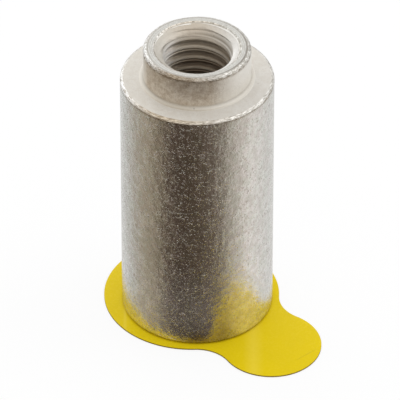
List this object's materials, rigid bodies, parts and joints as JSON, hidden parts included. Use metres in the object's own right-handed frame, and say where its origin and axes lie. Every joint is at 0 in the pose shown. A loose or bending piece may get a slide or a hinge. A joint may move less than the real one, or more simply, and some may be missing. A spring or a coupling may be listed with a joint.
{
  "type": "threaded standoff",
  "caption": "Round tinned steel standoff with a locating spigot, a tapped through bore and a yellow film patch with a peel tab stuck to its flat end.",
  "frame": {"origin": "on the body's axis, at the underside of the film patch that it stands on", "axes": "+Z along the bore from the film to the spigot, +X towards the peel tab"},
  "size_m": [0.0099, 0.007, 0.0125],
  "materials": {
    "tinned_steel": "matte tin plate with a fine mottled grain",
    "yellow_film": "smooth yellow adhesive film"
  },
  "bodies": {
    "root": {"standoff_body": "tinned_steel", "pickup_patch": "yellow_film"}
  },
  "joints": []
}
